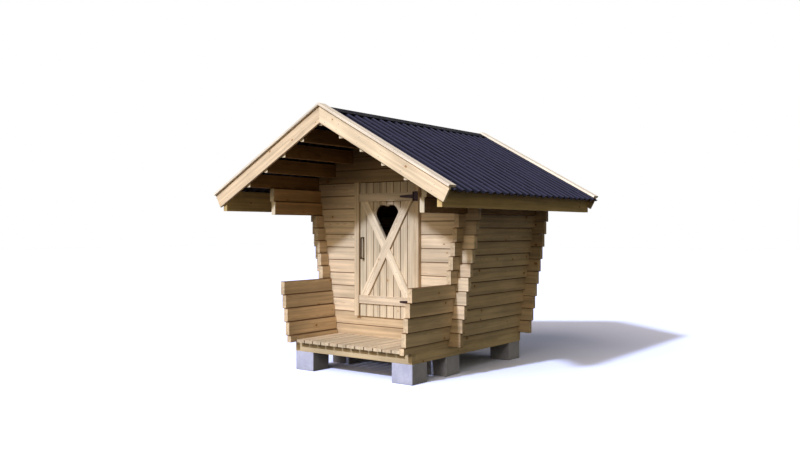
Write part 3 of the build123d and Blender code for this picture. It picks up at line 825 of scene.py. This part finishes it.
# nails in the barge boards at each purlin and eave board, and in the cap boards over the barge boards
trimNail = {
    "radius": 0.0034, "rim": 0.0010, "crown": 0.0004, "middle": 0.0001, "sides": 8, "finish": "zinc",
    "purlins": (0.10, 0.2355, 0.471, 0.7065, 0.942, 1.25), "heights": (-0.068, -0.022),
    "caps": (0.09, 0.33, 0.57, 0.81, 1.05, 1.29), "capTop": 0.0423, "capMid": 1.22,
}
places = []
for side in (-1, 1):
    slopeUp = (side * slopeSine, 0, slopeCosine)
    for end, facing in ((-1, toFront), (1, toRear)):
        for along in trimNail["purlins"]:
            for above in trimNail["heights"]:
                nailX, nailZ = roofPoint(along, above)
                places.append(((side * nailX, end * hut["gable"], nailZ), facing))
        for along in trimNail["caps"]:
            nailX, nailZ = roofPoint(along, trimNail["capTop"])
            places.append(((side * nailX, end * trimNail["capMid"], nailZ), slopeUp))
plantHeads("trimNails", trimNail, places, "cabin")

# roof nails with soft caps on every other crest, one row over each purlin
roofNail = {
    "radius": 0.0095, "rim": 0.0030, "crown": 0.0022, "middle": 0.0012, "sides": 12, "finish": "roofSheet",
    "rows": (0.2355, 0.471, 0.7065, 0.942, 1.272), "ridgeRow": 0.05, "ridgeTop": 0.0276,
    "waves": 23, "length": 2.4194, "crestShare": 0.25,  # where in its wave a crest stands
}
places = []
for wave in range(1, roofNail["waves"] - 1, 2):
    crestY = ((wave + roofNail["crestShare"]) / roofNail["waves"] - 0.5) * roofNail["length"]
    for side in (-1, 1):
        slopeUp = (side * slopeSine, 0, slopeCosine)
        for along in roofNail["rows"]:
            nailX, nailZ = roofPoint(along, hut["crest"])
            places.append(((side * nailX, crestY, nailZ), slopeUp))
        nailX, nailZ = roofPoint(roofNail["ridgeRow"], roofNail["ridgeTop"])
        places.append(((side * nailX, crestY, nailZ), slopeUp))
plantHeads("roofNails", roofNail, places, "cabin")

# screws in the hinges: three in each strap on the door, three in each plate on the post
hingeScrew = {
    "radius": 0.0034, "rim": 0.0012, "crown": 0.0006, "middle": -0.0006, "sides": 10, "finish": "blackIron",
    "face": -0.401, "strap": (0.028, 0.068, 0.112), "plateX": 0.3245, "plate": (-0.026, 0.0, 0.026),
}
strapPlaces, platePlaces = [], []
for railZ in hut["railMid"]:
    for back in hingeScrew["strap"]:
        strapPlaces.append(((hut["hingeX"] - back, hingeScrew["face"], railZ), toFront))
    for rise in hingeScrew["plate"]:
        platePlaces.append(((hingeScrew["plateX"], hingeScrew["face"], railZ + rise), toFront))
plantHeads("hingeStrapScrews", hingeScrew, strapPlaces, "door")
plantHeads("hingePlateScrews", hingeScrew, platePlaces, "cabin")

# sealing bands in the joints between the cabin's logs, so that no light comes through
sealBand = {
    "width": 0.016, "thick": 0.0004, "cuts": 9, "pinch": 0.8,
    "clear": 0.001,           # space left at each end
    "halfLeast": 0.03,        # shorter bands are left out
}
deselectAll()
bpy.ops.mesh.primitive_cube_add(size=1.0)
master = bpy.context.object
bpy.ops.object.mode_set(mode="EDIT")
bpy.ops.transform.resize(value=(1.0, sealBand["width"], sealBand["thick"]))
stretches = sealBand["cuts"] + 1
for cut in range(1, stretches):
    bpy.ops.mesh.select_all(action="SELECT")
    bpy.ops.mesh.bisect(plane_co=(cut / stretches - 0.5, 0, 0), plane_no=(1, 0, 0))
pick(master, "VERT", lambda point: round((point.co.x + 0.5) * stretches) % 2 == 1)
bpy.ops.transform.resize(value=(1.0, sealBand["pinch"], 1.0))
bpy.ops.object.mode_set(mode="OBJECT")
bands = []                    # middle, length and turn of each band
gapMid = hut["seamGap"] / 2
cabinMid = (hut["frontFace"] + hut["rearFace"]) / 2
cabinRun = hut["rearFace"] - hut["frontFace"] - 2 * hut["logThick"] - 2 * sealBand["clear"]
for course in range(hut["plateCourse"]):
    seamX = (sideMid(course) + sideMid(course + 1)) / 2
    seamZ = hut["base"] + (course + 0.5) * hut["course"] - gapMid
    for side in (-1, 1):
        bands.append(((side * seamX, cabinMid, seamZ), cabinRun, math.pi / 2))
for course in range(hut["ridgeCourse"]):
    seamZ = hut["base"] + (course + 1) * hut["course"] - gapMid
    inner = sideMid(course + 1) - hut["logThick"] / 2 - sealBand["clear"]
    if inner < sealBand["halfLeast"]:
        continue
    bands.append(((0, hut["wallMidRear"], seamZ), 2 * inner, 0.0))
    if hut["sillCourse"] <= course + 1 <= hut["plateCourse"]:
        beside = inner - hut["liningHalf"] - sealBand["clear"]
        for side in (-1, 1):
            bands.append(((side * (inner - beside / 2), hut["wallMidFront"], seamZ), beside, 0.0))
    else:
        bands.append(((0, hut["wallMidFront"], seamZ), 2 * inner, 0.0))
copies = []
for middle, length, turn in bands:
    twin = twinOf(master)
    twin.location = middle
    twin.rotation_euler = (0, 0, turn)
    twin.scale = (length, 1, 1)
    copies.append(twin)
bpy.data.meshes.remove(master.data)
joinCopies(copies, "sealBands", "flaxBand", "cabin")
print("sealing bands", len(bands))

# roof sheets: welded copies of the CAD sheets, shaded round over the waves, with painted shade below: a
# dark brown finish on the faces that face down
sheetCopy = {"weld": 0.00002, "roundUpTo": 35.0, "facingDown": -0.1}
for side in ("left", "right"):
    sheet = weldedCopy("roof_sheet_" + side, "roofSheet" + side.capitalize(), sheetCopy["weld"])
    bpy.ops.mesh.normals_make_consistent(inside=False)
    pick(sheet, "FACE", lambda face: face.normal.z < sheetCopy["facingDown"])
    sheet.data.materials.append(finishes["roofUndersidePaintedShade"])
    sheet.active_material_index = 1
    bpy.ops.object.material_slot_assign()
    bpy.ops.object.mode_set(mode="OBJECT")
    bpy.ops.object.shade_smooth_by_angle(angle=math.radians(sheetCopy["roundUpTo"]))
    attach(sheet, "cabin")
    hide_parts("roof_sheet_" + side)
print("roof sheets rounded")

# door boards: a welded copy of the CAD boards with the rim of the heart planed off at the front
heartRim = {
    "weld": 0.00002, "flatWithin": 0.5,
    "width": 0.008,
    "face": -0.381, "faceWithin": 0.0002,
    "half": 0.135, "low": 1.09, "high": 1.425,  # box round the heart
    "boardEdge": 0.003, "upright": 0.0005,  # an upright edge this near a joint is a board's side
}
boards = weldedCopy("door_boards", "doorBoards", heartRim["weld"])
bpy.ops.mesh.dissolve_limited(angle_limit=math.radians(heartRim["flatWithin"]))


def onHeartRim(edge):
    ends = [boards.data.vertices[index].co for index in edge.vertices]
    onFace = all(abs(end.y - heartRim["face"]) < heartRim["faceWithin"] for end in ends)
    inHeart = all(abs(end.x) < heartRim["half"] and heartRim["low"] < end.z < heartRim["high"]
                  for end in ends)
    pitches = ends[0].x / hut["doorPitch"]
    toJoint = abs(pitches - round(pitches)) * hut["doorPitch"]
    boardSide = toJoint < heartRim["boardEdge"] and abs(ends[0].x - ends[1].x) < heartRim["upright"]
    return onFace and inHeart and not boardSide


rimEdges = pick(boards, "EDGE", onHeartRim)
bpy.ops.mesh.bevel(offset=heartRim["width"], segments=1)
bpy.ops.mesh.select_all(action="SELECT")
bpy.ops.mesh.remove_doubles(threshold=heartRim["weld"])
bpy.ops.mesh.dissolve_degenerate(threshold=heartRim["weld"])
bpy.ops.object.mode_set(mode="OBJECT")
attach(boards, "door")
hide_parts("door_boards")
print("heart rim planed,", rimEdges, "edges")

# floor, light and camera as in the photograph
stageLook = {
    "floorHalf": 40.0,
    "floorSeen": (1.28, 1.38, 1.95),       # what the camera sees
    "floorBounce": (0.028, 0.021, 0.012),  # what lights the hut from below
    "skySeen": (1.0, 1.0, 1.0),
    "skyLight": (0.036, 0.033, 0.024),
    "skyRight": (0.325, 0.295, 0.178),     # the sky's paler right side
    "skyFront": (0.50, 0.41, 0.28),        # haze low in front
    "frontFall": 8.0,                      # how fast the haze fades away from straight in front
    "skyTop": (0.16, 0.17, 0.21),          # open sky overhead
    "topFall": 3.0,
    "sunTravel": (0.09, 1.40, -1.0),
    "sunColour": (0.79, 0.86, 1.0),        # the bare sun
    "sunStrength": 2.68,
    "sunSpread": 4.0,
    "glowColour": (1.0, 0.84, 0.60),       # the hazy sky around it
    "glowStrength": 1.6,
    "glowSpread": 54.0,
    "eye": (4.291, -5.872, 1.204),
    "azimuth": 37.063,
    "tiltUp": 0.268,
    "lens": 36.47,
    "sensor": 36.0,
}


# 1 for what the camera sees, straight or in a reflection, and 0 for what only lights the hut
def seenRays(tree):
    path = tree.nodes.new("ShaderNodeLightPath")
    indirect = calc(tree, "MAXIMUM", path.outputs["Is Glossy Ray"], path.outputs["Is Transmission Ray"])
    return calc(tree, "MAXIMUM", path.outputs["Is Camera Ray"], indirect)


deselectAll()
bpy.ops.mesh.primitive_plane_add(size=2 * stageLook["floorHalf"], location=(0, 0, 0))
floor = bpy.context.object
floor.name = "floor"
paper = bpy.data.materials.new("floorPaper")
paper.use_nodes = True
tree = paper.node_tree
tree.nodes.clear()
paperShader = tree.nodes.new("ShaderNodeBsdfDiffuse")
paperColour = blend(tree, seenRays(tree), stageLook["floorBounce"], stageLook["floorSeen"])
tree.links.new(paperColour, paperShader.inputs[0])
paperOut = tree.nodes.new("ShaderNodeOutputMaterial")
tree.links.new(paperShader.outputs[0], paperOut.inputs[0])
floor.data.materials.append(paper)

world = bpy.data.worlds.new("softSky")
bpy.context.scene.world = world
world.use_nodes = True
tree = world.node_tree
tree.nodes.clear()
skyX, skyY, skyZ = split3(tree, tree.nodes.new("ShaderNodeTexCoord").outputs["Generated"])
toRight = remap(tree, skyX, 0.0, 1.0, 0.0, 1.0, smooth=False)
toFore = calc(tree, "MAXIMUM", calc(tree, "MULTIPLY", skyY, -1.0), 0.0)
toHaze = calc(tree, "POWER", toFore, stageLook["frontFall"])
toTop = calc(tree, "POWER", calc(tree, "MAXIMUM", skyZ, 0.0), stageLook["topFall"])
softSky = blend(tree, toRight, stageLook["skyLight"], stageLook["skyRight"])
softSky = blend(tree, toHaze, softSky, stageLook["skyFront"], "ADD")
softSky = blend(tree, toTop, softSky, stageLook["skyTop"], "ADD")
sky = tree.nodes.new("ShaderNodeBackground")
tree.links.new(blend(tree, seenRays(tree), softSky, stageLook["skySeen"]), sky.inputs[0])
skyOut = tree.nodes.new("ShaderNodeOutputWorld")
tree.links.new(sky.outputs[0], skyOut.inputs[0])

for lampName in ("sun", "glow"):
    lamp = bpy.data.lights.new(lampName, "SUN")
    lamp.energy = stageLook[lampName + "Strength"]
    lamp.color = stageLook[lampName + "Colour"]
    lamp.angle = math.radians(stageLook[lampName + "Spread"])
    lampObject = bpy.data.objects.new(lampName, lamp)
    bpy.context.collection.objects.link(lampObject)
    lampObject.rotation_euler = Vector(stageLook["sunTravel"]).to_track_quat("-Z", "Y").to_euler()

lensData = bpy.data.cameras.new("camera")
lensData.lens = stageLook["lens"]
lensData.sensor_width = stageLook["sensor"]
camera = bpy.data.objects.new("camera", lensData)
bpy.context.collection.objects.link(camera)
camera.location = stageLook["eye"]
turnAngle, tilt = math.radians(stageLook["azimuth"]), math.radians(stageLook["tiltUp"])
gaze = Vector((-math.sin(turnAngle) * math.cos(tilt), math.cos(turnAngle) * math.cos(tilt), math.sin(tilt)))
camera.rotation_euler = gaze.to_track_quat("-Z", "Y").to_euler()
bpy.context.scene.camera = camera
bpy.context.scene.view_settings.view_transform = "Standard"
print("stage, light and camera set")
